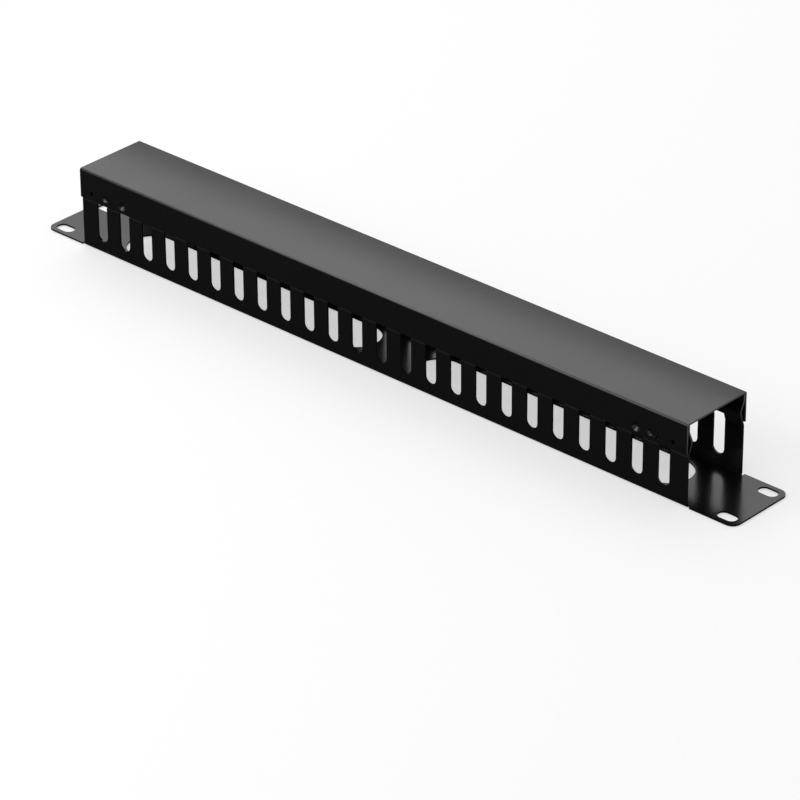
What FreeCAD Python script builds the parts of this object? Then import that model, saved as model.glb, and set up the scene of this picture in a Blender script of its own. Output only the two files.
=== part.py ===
"""Horizontal cable manager for a 19 inch rack, one rack unit high.

Two pieces of folded, black powder-coated steel sheet:

  finger_duct  the rack panel with its two ears, folded along both long edges
               into flanges that are slotted into spring fingers
  snap_cover   the U-shaped lid that clips over the finger tips

Frame: X along the rack width, Y across the rack unit, Z the way the fingers
point.  The origin is the middle of the panel's back face, so the panel lies
on Z = 0.  Sizes are in millimetres and live in the "Sizes" sheet.
"""
import FreeCAD
import Part
import math
import os
import Sketcher

SIZES = [
    ("sheet_thickness", 1.0, "steel sheet of both pieces"),
    ("bend_radius", 0.3, "inside radius of every long bend"),
    ("panel_length", 482.6, "19 inch panel, over the ears"),
    ("panel_height", 43.7, "panel height, just under one rack unit"),
    ("ear_width", 29.7, "ear, from the flanges' end to its outer edge"),
    ("ear_corner_radius", 5.0, "outer corners of the ears"),
    ("rack_slot_inset", 8.75, "ear's outer edge to the middle of a rack slot"),
    ("rack_slot_margin", 5.975, "panel's long edge to the middle of a rack slot"),
    ("rack_slot_width", 6.8, "rack slot, across"),
    ("rack_slot_length", 11.4, "rack slot, over its round ends"),
    ("relief_width", 1.5, "bend relief notch, along the edge"),
    ("relief_depth", 1.6, "bend relief notch, into the panel"),
    ("opening_inset", 16.0, "flanges' end to the nearest end of a cable opening"),
    ("opening_bridge", 31.2, "panel left between the two cable openings"),
    ("opening_width", 27.0, "cable opening, across"),
    ("finger_slots", 24, "slots in each flange"),
    ("finger_gap", 7.4, "width of a slot"),
    ("end_finger", 11.25, "width of the first and last finger"),
    ("finger_root", 7.0, "panel back to the round bottom of a slot"),
    ("finger_height", 45.7, "panel back to the finger tips"),
    ("tip_run", 3.7, "finger tip down to its last bend"),
    ("return_run", 5.9, "last bend down to the bottom of the grip groove"),
    ("ramp_run", 8.1, "bottom of the grip groove down to the first bend"),
    ("groove_depth", 2.5, "depth of the grip groove"),
    ("side_clearance", 0.2, "flange to cover, each side"),
    ("seat_clearance", 0.3, "finger tips to the cover"),
    ("cover_depth", 17.1, "cover flange, over the top face"),
    ("feature_rise", 4.3, "cover edge up to the row of holes"),
    ("pin_hole", 2.2, "small round hole in the cover"),
    ("pin_hole_inset", 8.6, "cover end to the small hole"),
    ("tie_slot_length", 8.2, "slot in the cover, over its round ends"),
    ("tie_slot_width", 4.0, "slot in the cover, across"),
    ("tie_slot_inset", 20.8, "cover end to the middle of the slot"),
    ("dimple_mouth", 5.2, "dimple, across its mouth"),
    ("dimple_floor", 1.6, "dimple, across its floor"),
    ("dimple_depth", 1.5, "dimple, pressed inwards"),
    ("dimple_gap", 2, "finger slot, from the end, that a dimple drops into"),
]

doc = FreeCAD.newDocument("CableManager")
sheet = doc.addObject("Spreadsheet::Sheet", "Sizes")
for row, (alias, value, note) in enumerate(SIZES, start=1):
    sheet.set("A%d" % row, note)
    sheet.set("B%d" % row, str(value))
    sheet.setAlias("B%d" % row, alias)
doc.recompute()


def size(alias):
    """Current value of a sheet cell."""
    return float(sheet.get(alias))


def bind(obj, prop, text):
    """Tie a property to a formula of sheet aliases, written <alias>."""
    obj.setExpression(prop, text.replace("<", "Sizes.").replace(">", ""))


def value_of(text):
    """The number that a formula of sheet aliases gives."""
    probe = text
    for alias, _, _ in SIZES:
        probe = probe.replace("<" + alias + ">", "(%r)" % size(alias))
    return doc.Sizes.evalExpression(probe)


def plane(body, role):
    """An origin plane or axis of the body, found by its role."""
    for feature in body.Origin.OriginFeatures:
        if feature.Role == role:
            return feature
    raise RuntimeError("no origin feature " + role)


def new_body(label):
    body = doc.addObject("PartDesign::Body", label)
    body.Label = label
    return body


def new_sketch(body, name, role):
    """A sketch on one of the body's own origin planes."""
    sketch = body.newObject("Sketcher::SketchObject", name)
    sketch.AttachmentSupport = [(plane(body, role), "")]
    sketch.MapMode = "FlatFace"
    return sketch


def dimension(sketch, constraint, text):
    """Add a driving dimension whose value comes from the sheet."""
    index = sketch.addConstraint(constraint)
    name = "d%d" % index
    sketch.renameConstraint(index, name)
    bind(sketch, "Constraints." + name, text)


def place_point(sketch, geometry, end, across, up):
    """Hold a point at sheet-driven distances right of and above the origin."""
    dimension(sketch, Sketcher.Constraint("DistanceX", -1, 1, geometry, end, value_of(across)), across)
    dimension(sketch, Sketcher.Constraint("DistanceY", -1, 1, geometry, end, value_of(up)), up)


def line(sketch, start, end):
    first = FreeCAD.Vector(start[0], start[1], 0)
    last = FreeCAD.Vector(end[0], end[1], 0)
    return sketch.addGeometry(Part.LineSegment(first, last), False)


def join(sketch, one, one_end, other, other_end):
    sketch.addConstraint(Sketcher.Constraint("Coincident", one, one_end, other, other_end))


def offset_corners(points, distance):
    """Corners of the chain that runs parallel to points, on their left."""
    normals = []
    for (ax, ay), (bx, by) in zip(points, points[1:]):
        run = math.hypot(bx - ax, by - ay)
        normals.append((-(by - ay) / run, (bx - ax) / run))
    shifted = []
    for index, (px, py) in enumerate(points):
        before = normals[max(index - 1, 0)]
        after = normals[min(index, len(normals) - 1)]
        scale = distance / (1 + before[0] * after[0] + before[1] * after[1])
        shifted.append((px + (before[0] + after[0]) * scale, py + (before[1] + after[1]) * scale))
    return shifted


def half_section(body, name, corners):
    """Half of a folded sheet's cross-section, from its plane of symmetry to its free edge.

    corners holds formulas for the outer face's corners; the first lies on the
    plane of symmetry.  The inner face runs parallel, one sheet thickness in.
    """
    sketch = new_sketch(body, name, "YZ_Plane")
    outer = [(value_of(across), value_of(up)) for across, up in corners]
    inside = 1 if outer[1][1] <= outer[-1][1] else -1
    inner = offset_corners(outer, inside * size("sheet_thickness"))
    outer_lines = [line(sketch, a, b) for a, b in zip(outer, outer[1:])]
    inner_lines = [line(sketch, a, b) for a, b in zip(inner, inner[1:])]
    middle = line(sketch, inner[0], outer[0])
    edge = line(sketch, outer[-1], inner[-1])
    for chain in (outer_lines, inner_lines):
        for one, other in zip(chain, chain[1:]):
            join(sketch, one, 2, other, 1)
    join(sketch, middle, 2, outer_lines[0], 1)
    join(sketch, middle, 1, inner_lines[0], 1)
    join(sketch, edge, 1, outer_lines[-1], 2)
    join(sketch, edge, 2, inner_lines[-1], 2)
    sketch.addConstraint(Sketcher.Constraint("PointOnObject", outer_lines[0], 1, -2))
    sketch.addConstraint(Sketcher.Constraint("PointOnObject", inner_lines[0], 1, -2))
    up = corners[0][1]
    if up == "0":
        sketch.addConstraint(Sketcher.Constraint("PointOnObject", outer_lines[0], 1, -1))
    else:
        dimension(sketch, Sketcher.Constraint("DistanceY", -1, 1, outer_lines[0], 1, value_of(up)), up)
    sketch.addConstraint(Sketcher.Constraint("Horizontal", outer_lines[0]))
    across = corners[1][0]
    dimension(sketch, Sketcher.Constraint("DistanceX", -1, 1, outer_lines[0], 2, value_of(across)), across)
    for chain_line, (across, up) in zip(outer_lines[1:], corners[2:]):
        place_point(sketch, chain_line, 2, across, up)
    for one, other in zip(outer_lines, inner_lines):
        sketch.addConstraint(Sketcher.Constraint("Parallel", one, other))
        gap = Sketcher.Constraint("Distance", other, 2, one, size("sheet_thickness"))
        dimension(sketch, gap, "<sheet_thickness>")
    sketch.addConstraint(Sketcher.Constraint("Perpendicular", edge, outer_lines[-1]))
    return sketch, outer, inner


def extrude_both_ways(body, name, sketch, length):
    pad = body.newObject("PartDesign::Pad", name)
    pad.Profile = sketch
    pad.Length = value_of(length)
    bind(pad, "Length", length)
    pad.Midplane = True
    return pad


def mirror(body, name, originals, role):
    copy = body.newObject("PartDesign::Mirrored", name)
    copy.Originals = originals
    copy.MirrorPlane = (plane(body, role), [""])
    body.Tip = copy
    return copy


def long_edges(shape, points):
    """Names of the edges along X that pass through the points (across, up)."""
    names = []
    for number, edge in enumerate(shape.Edges, start=1):
        first = edge.Vertexes[0].Point
        last = edge.Vertexes[-1].Point
        along = abs(last.x - first.x)
        if along < 1 or abs(last.y - first.y) > 1e-4 or abs(last.z - first.z) > 1e-4:
            continue
        for across, up in points:
            if abs(abs(first.y) - across) < 1e-3 and abs(first.z - up) < 1e-3:
                names.append("Edge%d" % number)
    return names


def round_bends(body, name, base, points, radius):
    """Round the long edges at the given section corners, on both sides."""
    doc.recompute()
    edges = long_edges(base.Shape, points)
    if len(edges) != 2 * len(points):
        raise RuntimeError("%s found %d of %d edges" % (name, len(edges), 2 * len(points)))
    fillet = body.newObject("PartDesign::Fillet", name)
    fillet.Base = (base, edges)
    fillet.Radius = value_of(radius)
    bind(fillet, "Radius", radius)
    body.Tip = fillet
    return fillet


def slot_outline(sketch, middle_x, middle_y, length, width):
    """A slot with round ends, lying along the sketch's X axis."""
    x = value_of(middle_x)
    y = value_of(middle_y)
    radius = value_of(width) / 2
    reach = value_of(length) / 2 - radius
    turn = math.pi / 2
    axis = FreeCAD.Vector(0, 0, 1)
    right = Part.ArcOfCircle(Part.Circle(FreeCAD.Vector(x + reach, y, 0), axis, radius), -turn, turn)
    left = Part.ArcOfCircle(Part.Circle(FreeCAD.Vector(x - reach, y, 0), axis, radius), turn, 3 * turn)
    right = sketch.addGeometry(right, False)
    left = sketch.addGeometry(left, False)
    top = line(sketch, (x + reach, y + radius), (x - reach, y + radius))
    bottom = line(sketch, (x - reach, y - radius), (x + reach, y - radius))
    for arc, arc_end, side, side_end in ((right, 2, top, 1), (top, 2, left, 1),
                                         (left, 2, bottom, 1), (bottom, 2, right, 1)):
        sketch.addConstraint(Sketcher.Constraint("Tangent", arc, arc_end, side, side_end))
    sketch.addConstraint(Sketcher.Constraint("Equal", left, right))
    sketch.addConstraint(Sketcher.Constraint("Horizontal", top))
    half_width = "(" + width + ") / 2"
    half_reach = "((" + length + ") - (" + width + ")) / 2"
    dimension(sketch, Sketcher.Constraint("Radius", right, radius), half_width)
    place = {"right": (right, "(" + middle_x + ") + " + half_reach),
             "left": (left, "(" + middle_x + ") - " + half_reach)}
    for arc, formula in place.values():
        constraint = Sketcher.Constraint("DistanceX", -1, 1, arc, 3, value_of(formula))
        dimension(sketch, constraint, formula)
    if middle_y == "0":
        sketch.addConstraint(Sketcher.Constraint("PointOnObject", right, 3, -1))
    elif y < 0:
        below = "-(" + middle_y + ")"
        dimension(sketch, Sketcher.Constraint("DistanceY", right, 3, -1, 1, -y), below)
    else:
        dimension(sketch, Sketcher.Constraint("DistanceY", -1, 1, right, 3, y), middle_y)


def cut_through(body, name, sketch, both_ways, reverse=False):
    """A pocket that goes all the way; it must take material away."""
    before = body.Tip.Shape.Volume
    pocket = body.newObject("PartDesign::Pocket", name)
    pocket.Profile = sketch
    pocket.Type = "ThroughAll"
    pocket.Midplane = both_ways
    pocket.Reversed = reverse
    doc.recompute()
    if pocket.Shape.Volume > before - 0.01:
        raise RuntimeError(name + " cuts nothing")
    return pocket


# ---------------------------------------------------------------- finger duct
duct = new_body("finger_duct")

# Sizes that follow from the named ones.
HALF_HEIGHT = "<panel_height> / 2"
DUCT_LENGTH = "(<panel_length> - 2 * <ear_width>)"
RAMP_END = "<finger_height> - <tip_run>"
GROOVE_HEIGHT = RAMP_END + " - <return_run>"
RAMP_START = GROOVE_HEIGHT + " - <ramp_run>"
OPENING_LENGTH = "(" + DUCT_LENGTH + " / 2 - <opening_inset> - <opening_bridge> / 2)"
FINGER_SPAN = "(" + DUCT_LENGTH + " - 2 * <end_finger> - <finger_gap>)"
FINGER_PITCH = FINGER_SPAN + " / (<finger_slots> - 1)"

DUCT_CORNERS = [
    ("0", "0"),
    (HALF_HEIGHT, "0"),
    (HALF_HEIGHT, RAMP_START),
    (HALF_HEIGHT + " - <groove_depth>", GROOVE_HEIGHT),
    (HALF_HEIGHT, RAMP_END),
    (HALF_HEIGHT, "<finger_height>"),
]
section, outer, inner = half_section(duct, "DuctSection", DUCT_CORNERS)
fold = extrude_both_ways(duct, "DuctHalf", section, DUCT_LENGTH)
whole = mirror(duct, "DuctWhole", [fold], "XZ_Plane")
# The outside of a bend is one sheet thickness larger than its inside; at the
# grip groove the two faces change places.
wide = [outer[1], outer[2], inner[3], outer[4]]
tight = [inner[1], inner[2], outer[3], inner[4]]
wide_bends = round_bends(duct, "WideBends", whole, wide, "<bend_radius> + <sheet_thickness>")
tight_bends = round_bends(duct, "TightBends", wide_bends, tight, "<bend_radius>")

# One ear with its bend relief notches and round corners, at the +X end.
ear_sketch = new_sketch(duct, "EarOutline", "XY_Plane")
root_x = DUCT_LENGTH + " / 2"
notch_x = root_x + " + <relief_width>"
tip_x = "<panel_length> / 2"
notch_y = HALF_HEIGHT + " - <relief_depth>"
corner = size("ear_corner_radius")
rx, nx, px = value_of(root_x), value_of(notch_x), value_of(tip_x)
ny, hy = value_of(notch_y), value_of(HALF_HEIGHT)
chain = [
    line(ear_sketch, (rx, -ny), (nx, -ny)),
    line(ear_sketch, (nx, -ny), (nx, -hy)),
    line(ear_sketch, (nx, -hy), (px - corner, -hy)),
    ear_sketch.addGeometry(Part.ArcOfCircle(
        Part.Circle(FreeCAD.Vector(px - corner, corner - hy, 0), FreeCAD.Vector(0, 0, 1), corner),
        -math.pi / 2, 0), False),
    line(ear_sketch, (px, corner - hy), (px, hy - corner)),
    ear_sketch.addGeometry(Part.ArcOfCircle(
        Part.Circle(FreeCAD.Vector(px - corner, hy - corner, 0), FreeCAD.Vector(0, 0, 1), corner),
        0, math.pi / 2), False),
    line(ear_sketch, (px - corner, hy), (nx, hy)),
    line(ear_sketch, (nx, hy), (nx, ny)),
    line(ear_sketch, (nx, ny), (rx, ny)),
    line(ear_sketch, (rx, ny), (rx, -ny)),
]
for position, one in enumerate(chain):
    other = chain[(position + 1) % len(chain)]
    kind = "Tangent" if 3 in (position, position + 1) or 5 in (position, position + 1) else "Coincident"
    ear_sketch.addConstraint(Sketcher.Constraint(kind, one, 2, other, 1))
for one in (0, 2, 6, 8):
    ear_sketch.addConstraint(Sketcher.Constraint("Horizontal", chain[one]))
for one in (1, 4, 7):
    ear_sketch.addConstraint(Sketcher.Constraint("Vertical", chain[one]))
ear_sketch.addConstraint(Sketcher.Constraint("Symmetric", chain[0], 1, chain[8], 2, -1))
ear_sketch.addConstraint(Sketcher.Constraint("Symmetric", chain[2], 1, chain[6], 2, -1))
ear_sketch.addConstraint(Sketcher.Constraint("Equal", chain[3], chain[5]))
dimension(ear_sketch, Sketcher.Constraint("Radius", chain[3], corner), "<ear_corner_radius>")
dimension(ear_sketch, Sketcher.Constraint("DistanceX", -1, 1, chain[8], 2, rx), root_x)
dimension(ear_sketch, Sketcher.Constraint("DistanceY", -1, 1, chain[8], 2, ny), notch_y)
dimension(ear_sketch, Sketcher.Constraint("DistanceX", -1, 1, chain[6], 2, nx), notch_x)
dimension(ear_sketch, Sketcher.Constraint("DistanceY", -1, 1, chain[6], 2, hy), HALF_HEIGHT)
dimension(ear_sketch, Sketcher.Constraint("DistanceX", -1, 1, chain[4], 1, px), tip_x)

ear = duct.newObject("PartDesign::Pad", "Ear")
ear.Profile = ear_sketch
ear.Length = size("sheet_thickness")
bind(ear, "Length", "<sheet_thickness>")
doc.recompute()

rack_sketch = new_sketch(duct, "RackSlotOutlines", "XY_Plane")
slot_x = tip_x + " - <rack_slot_inset>"
slot_y = HALF_HEIGHT + " - <rack_slot_margin>"
for side in (slot_y, "-(" + slot_y + ")"):
    slot_outline(rack_sketch, slot_x, side, "<rack_slot_length>", "<rack_slot_width>")
rack_slots = cut_through(duct, "RackSlots", rack_sketch, False, True)

opening_sketch = new_sketch(duct, "OpeningOutline", "XY_Plane")
opening_x = "<opening_bridge> / 2 + " + OPENING_LENGTH + " / 2"
slot_outline(opening_sketch, opening_x, "0", OPENING_LENGTH, "<opening_width>")
opening = cut_through(duct, "CableOpening", opening_sketch, False, True)

both_ends = mirror(duct, "BothEnds", [ear, rack_slots, opening], "YZ_Plane")
doc.recompute()

# The first finger slot, open at the tips and round at its root, cut through
# both flanges at once and repeated along the duct.
finger_sketch = new_sketch(duct, "FingerSlotOutline", "XZ_Plane")
first_x = FINGER_SPAN + " / 2"
half_gap = size("finger_gap") / 2
centre_x = -value_of(first_x)
centre_z = size("finger_root") + half_gap
mouth = "<finger_height> + <sheet_thickness>"
mouth_z = value_of(mouth)
bottom = finger_sketch.addGeometry(Part.ArcOfCircle(
    Part.Circle(FreeCAD.Vector(centre_x, centre_z, 0), FreeCAD.Vector(0, 0, 1), half_gap),
    math.pi, 2 * math.pi), False)
right = line(finger_sketch, (centre_x + half_gap, centre_z), (centre_x + half_gap, mouth_z))
top = line(finger_sketch, (centre_x + half_gap, mouth_z), (centre_x - half_gap, mouth_z))
left = line(finger_sketch, (centre_x - half_gap, mouth_z), (centre_x - half_gap, centre_z))
finger_sketch.addConstraint(Sketcher.Constraint("Tangent", bottom, 2, right, 1))
finger_sketch.addConstraint(Sketcher.Constraint("Tangent", left, 2, bottom, 1))
join(finger_sketch, right, 2, top, 1)
join(finger_sketch, top, 2, left, 1)
finger_sketch.addConstraint(Sketcher.Constraint("Vertical", right))
finger_sketch.addConstraint(Sketcher.Constraint("Vertical", left))
finger_sketch.addConstraint(Sketcher.Constraint("Horizontal", top))
dimension(finger_sketch, Sketcher.Constraint("Radius", bottom, half_gap), "<finger_gap> / 2")
dimension(finger_sketch, Sketcher.Constraint("DistanceX", bottom, 3, -1, 1, -centre_x), first_x)
root_z = "<finger_root> + <finger_gap> / 2"
dimension(finger_sketch, Sketcher.Constraint("DistanceY", -1, 1, bottom, 3, centre_z), root_z)
dimension(finger_sketch, Sketcher.Constraint("DistanceY", -1, 1, right, 2, mouth_z), mouth)
first_slot = cut_through(duct, "FirstFingerSlot", finger_sketch, True)
slots = duct.newObject("PartDesign::LinearPattern", "FingerSlots")
slots.Originals = [first_slot]
slots.Direction = (finger_sketch, ["H_Axis"])
slots.Length = value_of(FINGER_SPAN)
bind(slots, "Length", FINGER_SPAN)
slots.Occurrences = int(size("finger_slots"))
bind(slots, "Occurrences", "<finger_slots>")
duct.Tip = slots
doc.recompute()

# ----------------------------------------------------------------- snap cover
cover = new_body("snap_cover")

HALF_COVER = "<panel_height> / 2 + <side_clearance> + <sheet_thickness>"
COVER_TOP = "<finger_height> + <seat_clearance> + <sheet_thickness>"
COVER_EDGE = "<finger_height> + <seat_clearance> + <sheet_thickness> - <cover_depth>"
COVER_CORNERS = [("0", COVER_TOP), (HALF_COVER, COVER_TOP), (HALF_COVER, COVER_EDGE)]
section, outer, inner = half_section(cover, "CoverSection", COVER_CORNERS)
fold = extrude_both_ways(cover, "CoverHalf", section, DUCT_LENGTH)
whole = mirror(cover, "CoverWhole", [fold], "XZ_Plane")
wide_bends = round_bends(cover, "CoverWideBends", whole, [outer[1]], "<bend_radius> + <sheet_thickness>")
tight_bends = round_bends(cover, "CoverTightBends", wide_bends, [inner[1]], "<bend_radius>")
doc.recompute()

# The row of features near the end of each flange: a small round hole, a slot
# with round ends and a pressed dimple.
ROW_HEIGHT = COVER_EDGE + " + <feature_rise>"
END_X = DUCT_LENGTH + " / 2"
row_sketch = new_sketch(cover, "HoleOutlines", "XZ_Plane")
slot_outline(row_sketch, END_X + " - <tie_slot_inset>", ROW_HEIGHT, "<tie_slot_length>", "<tie_slot_width>")
hole_x = END_X + " - <pin_hole_inset>"
hole = row_sketch.addGeometry(Part.Circle(
    FreeCAD.Vector(value_of(hole_x), value_of(ROW_HEIGHT), 0), FreeCAD.Vector(0, 0, 1),
    size("pin_hole") / 2), False)
dimension(row_sketch, Sketcher.Constraint("Radius", hole, size("pin_hole") / 2), "<pin_hole> / 2")
place_point(row_sketch, hole, 3, hole_x, ROW_HEIGHT)
holes = cut_through(cover, "FlangeHoles", row_sketch, True)

# The dimple is turned about its own axis, which runs across the duct: a boss on
# the inside of the flange and a matching recess pressed in from the outside.
DIMPLE_X = FINGER_SPAN + " / 2 - (<dimple_gap> - 1) * " + FINGER_PITCH
INNER_FACE = "<panel_height> / 2 + <side_clearance>"


def turned(name, points, kind):
    """Turn an outline about the dimple axis, on both flanges at once.

    points holds formulas: how far from the dimple axis, how far from the middle plane.
    """
    sketch = new_sketch(cover, name + "Outline", "XY_Plane")
    sketch.AttachmentOffset = FreeCAD.Placement(
        FreeCAD.Vector(value_of(DIMPLE_X), 0, value_of(ROW_HEIGHT)), FreeCAD.Rotation())
    bind(sketch, "AttachmentOffset.Base.x", DIMPLE_X)
    bind(sketch, "AttachmentOffset.Base.z", ROW_HEIGHT)
    for flange in (1, -1):
        corners = [(value_of(across), flange * value_of(out)) for across, out in points]
        edges = [line(sketch, start, end) for start, end in zip(corners, corners[1:] + corners[:1])]
        for one, other in zip(edges, edges[1:] + edges[:1]):
            join(sketch, one, 2, other, 1)
        for edge, (across, out) in zip(edges, points):
            if across == "0":
                sketch.addConstraint(Sketcher.Constraint("PointOnObject", edge, 1, -2))
            else:
                reach = Sketcher.Constraint("DistanceX", -1, 1, edge, 1, value_of(across))
                dimension(sketch, reach, across)
            ends = (-1, 1, edge, 1) if flange > 0 else (edge, 1, -1, 1)
            dimension(sketch, Sketcher.Constraint("DistanceY", *ends, value_of(out)), out)
    feature = cover.newObject("PartDesign::" + kind, name)
    feature.Profile = sketch
    feature.ReferenceAxis = (sketch, ["V_Axis"])
    feature.Angle = 360
    doc.recompute()
    return feature


before = cover.Tip.Shape.Volume
boss = turned("DimpleBoss", [
    ("0", INNER_FACE + " + <sheet_thickness> / 2"),
    ("0", INNER_FACE + " - <dimple_depth>"),
    ("<dimple_floor> / 2 + <sheet_thickness> / 2", INNER_FACE + " - <dimple_depth>"),
    ("<dimple_mouth> / 2 + <sheet_thickness> / 4", INNER_FACE),
    ("<dimple_mouth> / 2 + <sheet_thickness> / 4", INNER_FACE + " + <sheet_thickness> / 2"),
], "Revolution")
raised = cover.Tip.Shape.Volume
recess = turned("DimpleRecess", [
    ("0", HALF_COVER + " + <sheet_thickness>"),
    ("0", HALF_COVER + " - <dimple_depth>"),
    ("<dimple_floor> / 2", HALF_COVER + " - <dimple_depth>"),
    ("<dimple_mouth> / 2", HALF_COVER),
    ("<dimple_mouth> / 2", HALF_COVER + " + <sheet_thickness>"),
], "Groove")
if not raised > before + 0.1 or not cover.Tip.Shape.Volume < raised - 0.1:
    raise RuntimeError("the dimple is not pressed")
far_end = mirror(cover, "FeaturesBothEnds", [holes, boss, recess], "YZ_Plane")
doc.recompute()

# ---------------------------------------------------------------- check, write
for obj in doc.Objects:
    if "Invalid" in obj.State or "Error" in obj.State:
        raise RuntimeError("%s did not compute: %s" % (obj.Label, obj.State))
bodies = [duct, cover]
for body in bodies:
    shape = body.Shape
    if shape.isNull() or not shape.isValid() or len(shape.Solids) != 1:
        raise RuntimeError(body.Label + " is not one valid solid")
os.makedirs("parts", exist_ok=True)
for body in bodies:
    body.Shape.exportStep("parts/" + body.Label + ".step")
    box = body.Shape.BoundBox
    print("%-12s volume %.1f mm3, box %.2f..%.2f, %.2f..%.2f, %.2f..%.2f" % (
        body.Label, body.Shape.Volume, box.XMin, box.XMax, box.YMin, box.YMax, box.ZMin, box.ZMax))
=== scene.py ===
"""A satin black horizontal cable manager, panel down, on a white studio floor."""

import math

import bmesh
import bpy
from mathutils import Matrix, Quaternion, Vector


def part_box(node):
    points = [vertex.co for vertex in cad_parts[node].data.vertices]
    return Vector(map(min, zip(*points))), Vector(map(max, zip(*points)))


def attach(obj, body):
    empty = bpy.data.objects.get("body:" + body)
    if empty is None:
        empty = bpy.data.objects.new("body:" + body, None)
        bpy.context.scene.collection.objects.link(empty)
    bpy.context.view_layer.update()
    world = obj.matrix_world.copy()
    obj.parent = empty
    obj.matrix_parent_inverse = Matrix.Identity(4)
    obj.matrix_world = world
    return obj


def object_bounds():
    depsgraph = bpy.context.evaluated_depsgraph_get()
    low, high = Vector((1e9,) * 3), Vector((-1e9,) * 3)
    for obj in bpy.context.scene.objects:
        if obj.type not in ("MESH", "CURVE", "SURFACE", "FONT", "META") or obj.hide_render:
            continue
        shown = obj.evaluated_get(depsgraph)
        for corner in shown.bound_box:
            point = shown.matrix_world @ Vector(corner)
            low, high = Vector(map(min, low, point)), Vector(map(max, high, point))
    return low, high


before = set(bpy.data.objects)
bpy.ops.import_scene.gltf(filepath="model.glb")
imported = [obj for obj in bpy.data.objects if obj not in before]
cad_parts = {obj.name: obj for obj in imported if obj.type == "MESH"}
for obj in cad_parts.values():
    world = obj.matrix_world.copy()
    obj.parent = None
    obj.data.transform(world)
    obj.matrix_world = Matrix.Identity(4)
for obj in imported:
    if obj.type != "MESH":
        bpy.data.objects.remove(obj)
cad_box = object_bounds()

# Camera: the direction and distance from the target, in degrees and metres.
CAMERA_TARGET = Vector((0.0583, -0.0618, 0.0200))
CAMERA_DISTANCE = 2.2389
CAMERA_AZIMUTH = -47.332
CAMERA_ELEVATION = 29.119
CAMERA_ROLL = -0.378
CAMERA_LENS = 200.83
CAMERA_SENSOR = 36.0
CAMERA_CLIP = (0.05, 50.0)

# Powder coat: two linear base colours, index of refraction, and the gloss where the cloud
# is thin and where it is thick.
COAT_COLOUR = (0.0040, 0.0040, 0.0043, 1.0)
COAT_COLOUR_LIGHT = (0.0060, 0.0060, 0.0064, 1.0)
COAT_IOR = 1.5
COAT_ROUGHNESS = (0.18, 0.22)

# Noises of the coat: the size in metres, the detail and its roughness. The cloud's share of
# the change of colour leaves the rest to the grain. Bumps have a strength and a height.
COAT_CLOUD = (0.045, 3.0, 0.5)
COAT_GRAIN = (0.00022, 2.0, 0.6)
COAT_PEEL = (0.0009, 2.0, 0.45)
CLOUD_SHARE = 0.6
PEEL_BUMP = (0.35, 0.00004)
GRAIN_BUMP = (0.25, 0.00001)

# Where each piece's coat starts in the noises, and how much the sheet is crowned, as a
# curvature per metre: folding leaves a slight crown across the cover's wide face.
DUCT_SEED = 0.0
COVER_SEED = 3.1
SEED_DIRECTION = (1.0, 0.7, 1.3)
COVER_CROWN = 2.2

# Emboss that fills each tie slot of the cover, in metres: how far its middle is in from
# the cover's end and up from its edge, its mouth over the round ends and across, how deep
# its floor lies below the mouth, and the sheet that it sits in. The floor is a share of the
# mouth's length, and of its width at the left end, from where it widens to the right until
# it is as wide as the mouth at a share of the length.
EMBOSS_INSET = 0.0208
EMBOSS_RISE = 0.0043
EMBOSS_MOUTH = (0.0082, 0.0040)
EMBOSS_FLOOR = (0.80, 0.36)
EMBOSS_WIDE_AT = 0.52
EMBOSS_DEPTH = 0.00096
EMBOSS_SHEET = 0.0010
EMBOSS_PLAY = 0.00002

# Studio floor, in metres: its size and how far it lies below the panel. Then its own colour,
# the white that it shows the lens, and what of each is left in the coat's reflections. Beyond
# the right ear's end there is a painted reflection: the colour seen only in reflections is
# lighter there, from one distance and fully at another, so the cover's end faces show a bright
# reflection.
FLOOR_SIZE = 12.0
FLOOR_DROP = 0.0004
FLOOR_ALBEDO = 0.50
FLOOR_WHITE = 0.52
FLOOR_IN_REFLECTIONS = 0.03
GLOW_IN_REFLECTIONS = 0.04
# Painted reflection: how light the floor looks in reflections beyond the right ear's end, and
# over what distances from it.
PAINTED_REFLECTION_LEVEL = 0.90
PAINTED_REFLECTION_REACH = (0.005, 0.015)

# Lights: the surround's level, and each soft box's direction from the origin, distance,
# size, radiance and roll in degrees.
WORLD_STRENGTH = 0.54
SOFT_BOXES = {
    "back_box": ((-0.53, 0.55, 0.79), 2.4, (2.3, 1.6), 1.25, -21.0),
    "edge_box": ((-0.59, -0.10, 0.80), 1.8, (0.6, 0.3), 5.0, 0.0),
    "key_box": ((-0.30, -0.68, 0.62), 1.6, (1.5, 0.7), 2.6, 0.0),
}


def grey(value):
    """A grey of one linear value."""
    return (value, value, value, 1.0)


def show(thing):
    """Puts an object into the scene."""
    bpy.context.scene.collection.objects.link(thing)


def new_material(name):
    """An empty node material, its tree and its output node."""
    material = bpy.data.materials.new(name)
    material.use_nodes = True
    tree = material.node_tree
    tree.nodes.clear()
    output = tree.nodes.new("ShaderNodeOutputMaterial")
    return material, tree, output


def add(tree, kind, **settings):
    """A node of one kind, with its properties and sockets set by name."""
    node = tree.nodes.new(kind)
    for key, value in settings.items():
        if hasattr(node, key):
            setattr(node, key, value)
        else:
            node.inputs[key].default_value = value
    return node


def combine(tree, operation, *values):
    """A Math node over values, each of them a number or another node's output."""
    node = add(tree, "ShaderNodeMath", operation=operation)
    for socket, value in zip(node.inputs, values):
        if isinstance(value, float):
            socket.default_value = value
        else:
            tree.links.new(value, socket)
    return node.outputs[0]


def axes(tree, place):
    """The X, Y and Z sockets of a place."""
    split = add(tree, "ShaderNodeSeparateXYZ")
    tree.links.new(place, split.inputs[0])
    return split.outputs


def noise(tree, place, size, detail, roughness):
    """Noise whose features are about size metres across."""
    node = add(tree, "ShaderNodeTexNoise", Scale=1.0 / size, Detail=detail, Roughness=roughness)
    tree.links.new(place, node.inputs["Vector"])
    return node.outputs["Fac"]


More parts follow.
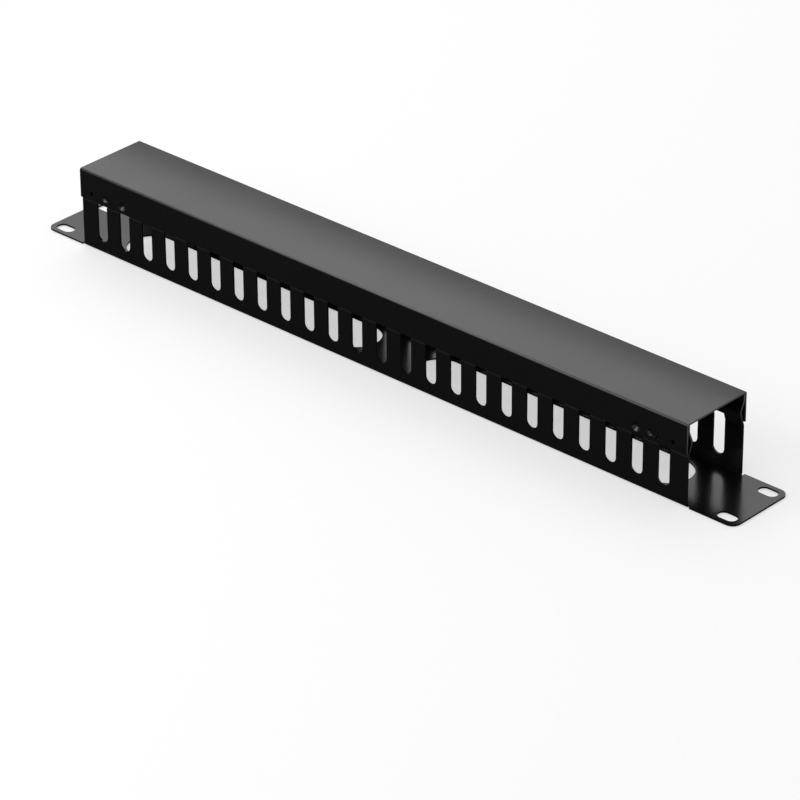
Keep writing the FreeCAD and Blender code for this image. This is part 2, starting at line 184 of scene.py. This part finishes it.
def bump(tree, height, strength, distance, normal=None):
    """A bump over a height, on top of another bump's normal if there is one."""
    node = add(tree, "ShaderNodeBump", Strength=strength, Distance=distance)
    tree.links.new(height, node.inputs["Height"])
    if normal is not None:
        tree.links.new(normal, node.inputs["Normal"])
    return node.outputs["Normal"]


def spread(tree, value, low, high, floor=0.3, ceiling=0.7):
    """A value mapped from floor..ceiling to low..high."""
    node = add(tree, "ShaderNodeMapRange")
    node.inputs["From Min"].default_value = floor
    node.inputs["From Max"].default_value = ceiling
    node.inputs["To Min"].default_value = low
    node.inputs["To Max"].default_value = high
    tree.links.new(value, node.inputs["Value"])
    return node.outputs["Result"]


def powder_coat(name, seed, crown=0.0):
    """Black powder coat: orange peel, fine grain, soft cloudy changes of gloss and tone.

    A crown bows the sheet across its width, so that its reflections change over it.
    """
    material, tree, output = new_material(name)
    link = tree.links.new
    coordinates = add(tree, "ShaderNodeTexCoord").outputs["Object"]
    shift = add(tree, "ShaderNodeVectorMath", operation="ADD")
    shift.inputs[1].default_value = [seed * part for part in SEED_DIRECTION]
    link(coordinates, shift.inputs[0])
    place = shift.outputs[0]

    cloud = noise(tree, place, *COAT_CLOUD)
    grain = noise(tree, place, *COAT_GRAIN)
    peel = noise(tree, place, *COAT_PEEL)

    tone = add(tree, "ShaderNodeMix", data_type="RGBA")
    tone.inputs["A"].default_value = COAT_COLOUR
    tone.inputs["B"].default_value = COAT_COLOUR_LIGHT
    weak = combine(tree, "MULTIPLY", grain, 1 - CLOUD_SHARE)
    link(combine(tree, "MULTIPLY_ADD", cloud, CLOUD_SHARE, weak), tone.inputs["Factor"])

    bowed = None
    if crown:
        across = axes(tree, coordinates)["Y"]
        square = combine(tree, "MULTIPLY", across, across)
        bow = combine(tree, "MULTIPLY", square, -crown / 2)
        bowed = bump(tree, bow, strength=1.0, distance=1.0)
    peeled = bump(tree, peel, *PEEL_BUMP, bowed)

    shader = add(tree, "ShaderNodeBsdfPrincipled", IOR=COAT_IOR)
    link(tone.outputs["Result"], shader.inputs["Base Color"])
    link(spread(tree, cloud, *COAT_ROUGHNESS), shader.inputs["Roughness"])
    link(bump(tree, grain, *GRAIN_BUMP, peeled), shader.inputs["Normal"])
    link(shader.outputs["BSDF"], output.inputs["Surface"])
    return material


def round_ended(length, width, steps=10, sides=4):
    """The outline of a slot with round ends, around the origin, lengthwise along X."""
    radius = width / 2
    reach = length / 2 - radius
    points = []
    for end, start in ((1, -90), (-1, 90)):
        for step in range(steps + 1):
            angle = math.radians(start + 180 * step / steps)
            points.append((end * reach + radius * math.cos(angle), radius * math.sin(angle)))
        for step in range(1, sides):
            points.append((end * reach * (1 - 2 * step / sides), end * radius))
    return points


def slot_emboss(name, end, side, coat):
    """A shallow pressed trough with a closed floor, in the tie slot at one end of one flange."""
    low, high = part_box("snap_cover")
    across = end * (high.x - EMBOSS_INSET)
    up = low.z + EMBOSS_RISE
    face = high.y
    mouth = round_ended(*(size - 2 * EMBOSS_PLAY for size in EMBOSS_MOUTH))
    floor_length, floor_width = EMBOSS_FLOOR
    floor = []
    for x, z in mouth:
        from_left = 0.5 - side * x / EMBOSS_MOUTH[0]
        widened = min(1.0, from_left / EMBOSS_WIDE_AT)
        floor.append((x * floor_length, z * (floor_width + (1 - floor_width) * widened)))
    rings = [
        (mouth, face - EMBOSS_SHEET + EMBOSS_PLAY),
        (mouth, face - EMBOSS_PLAY),
        (floor, face - EMBOSS_DEPTH),
    ]
    points = [(across + x, side * y, up + z) for ring, y in rings for x, z in ring]
    count = len(mouth)
    last = count * (len(rings) - 1)
    faces = [tuple(range(count)), tuple(range(last, last + count))]
    for base in range(0, last, count):
        for i in range(count):
            j = (i + 1) % count
            faces.append((base + i, base + j, base + count + j, base + count + i))
    mesh = bpy.data.meshes.new(name)
    mesh.from_pydata(points, [], faces)
    shape = bmesh.new()
    shape.from_mesh(mesh)
    bmesh.ops.recalc_face_normals(shape, faces=shape.faces)
    shape.to_mesh(mesh)
    shape.free()
    mesh.materials.append(coat)
    emboss = bpy.data.objects.new(name, mesh)
    show(emboss)
    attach(emboss, "cover")


def floor_paint():
    """White paint that glows for the lens and stays dim in the coat's reflections, except for a
    painted reflection: a light patch beyond the right ear's end that only reflections see.
    """
    material, tree, output = new_material("floor_white")
    link = tree.links.new
    rays = add(tree, "ShaderNodeLightPath").outputs

    ear_end = cad_box[1][0]
    place = axes(tree, add(tree, "ShaderNodeTexCoord").outputs["Object"])
    # Painted reflection: in reflections the floor is dim, but it turns light beyond the right
    # ear's end so that the cover's end faces show a bright reflection.
    painted_reflection_colour = spread(tree, place["X"], FLOOR_IN_REFLECTIONS, PAINTED_REFLECTION_LEVEL,
                    *(ear_end + distance for distance in PAINTED_REFLECTION_REACH))
    colour = add(tree, "ShaderNodeMix", data_type="RGBA")
    colour.inputs["A"].default_value = grey(FLOOR_ALBEDO)
    link(painted_reflection_colour, colour.inputs["B"])
    link(rays["Is Glossy Ray"], colour.inputs["Factor"])
    paint = add(tree, "ShaderNodeBsdfDiffuse")
    link(colour.outputs["Result"], paint.inputs["Color"])

    seen = combine(tree, "ADD", rays["Is Camera Ray"], rays["Is Transmission Ray"])
    level = combine(tree, "MULTIPLY_ADD", rays["Is Glossy Ray"], GLOW_IN_REFLECTIONS, seen)
    glow = add(tree, "ShaderNodeEmission")
    link(combine(tree, "MULTIPLY", level, FLOOR_WHITE), glow.inputs["Strength"])

    both = add(tree, "ShaderNodeAddShader")
    link(paint.outputs[0], both.inputs[0])
    link(glow.outputs[0], both.inputs[1])
    link(both.outputs[0], output.inputs["Surface"])
    return material


def studio_floor():
    """A wide floor that catches the object's shadow."""
    half = FLOOR_SIZE / 2
    corners = [(-half, -half, 0), (half, -half, 0), (half, half, 0), (-half, half, 0)]
    mesh = bpy.data.meshes.new("floor")
    mesh.from_pydata(corners, [], [(0, 1, 2, 3)])
    mesh.materials.append(floor_paint())
    floor = bpy.data.objects.new("floor", mesh)
    floor.location.z = -FLOOR_DROP
    show(floor)


def soft_box(name, direction, distance, size, radiance, roll):
    """A rectangular area light that faces the origin, rolled in degrees."""
    lamp = bpy.data.lights.new(name, "AREA")
    lamp.shape = "RECTANGLE"
    lamp.size, lamp.size_y = size
    lamp.energy = math.pi * size[0] * size[1] * radiance
    towards = Vector(direction).normalized()
    body = bpy.data.objects.new(name, lamp)
    body.location = towards * distance
    facing = (-towards).to_track_quat("-Z", "Y")
    body.rotation_euler = (facing @ Quaternion((0, 0, 1), math.radians(roll))).to_euler()
    show(body)


def studio_lights():
    """An even surround, white to the lens, and soft boxes behind, above and in front."""
    world = bpy.data.worlds.new("surround")
    bpy.context.scene.world = world
    world.use_nodes = True
    tree = world.node_tree
    background = tree.nodes["Background"]
    background.inputs["Color"].default_value = grey(1.0)
    rays = add(tree, "ShaderNodeLightPath").outputs
    seen = combine(tree, "MAXIMUM", rays["Is Camera Ray"], rays["Is Transmission Ray"])
    strength = spread(tree, seen, WORLD_STRENGTH, 1.0, 0.0, 1.0)
    tree.links.new(strength, background.inputs["Strength"])
    for name, settings in SOFT_BOXES.items():
        soft_box(name, *settings)


def studio_camera():
    """The camera, aimed by azimuth, elevation and roll around its target."""
    azimuth = math.radians(CAMERA_AZIMUTH)
    elevation = math.radians(CAMERA_ELEVATION)
    roll = math.radians(CAMERA_ROLL)
    back = Vector((
        math.cos(elevation) * math.cos(azimuth),
        math.cos(elevation) * math.sin(azimuth),
        math.sin(elevation),
    ))
    level = (-back).cross(Vector((0, 0, 1))).normalized()
    upright = level.cross(-back).normalized()
    right = level * math.cos(roll) + upright * math.sin(roll)
    up = upright * math.cos(roll) - level * math.sin(roll)
    turn = Matrix((right, up, back)).transposed().to_4x4()
    lens = bpy.data.cameras.new("camera")
    lens.lens = CAMERA_LENS
    lens.sensor_width = CAMERA_SENSOR
    lens.clip_start, lens.clip_end = CAMERA_CLIP
    camera = bpy.data.objects.new("camera", lens)
    camera.matrix_world = Matrix.Translation(CAMERA_TARGET + back * CAMERA_DISTANCE) @ turn
    show(camera)
    bpy.context.scene.camera = camera


bpy.context.scene.view_settings.view_transform = "Standard"

coats = {
    "finger_duct": powder_coat("duct_coat", DUCT_SEED),
    "snap_cover": powder_coat("cover_coat", COVER_SEED, COVER_CROWN),
}
for node, coat in coats.items():
    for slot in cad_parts[node].material_slots:
        slot.material = coat

for side_name, side in (("front", -1), ("back", 1)):
    for end_name, end in (("left", -1), ("right", 1)):
        slot_emboss(f"slot_emboss_{side_name}_{end_name}", end, side, coats["snap_cover"])

studio_floor()
studio_lights()
studio_camera()
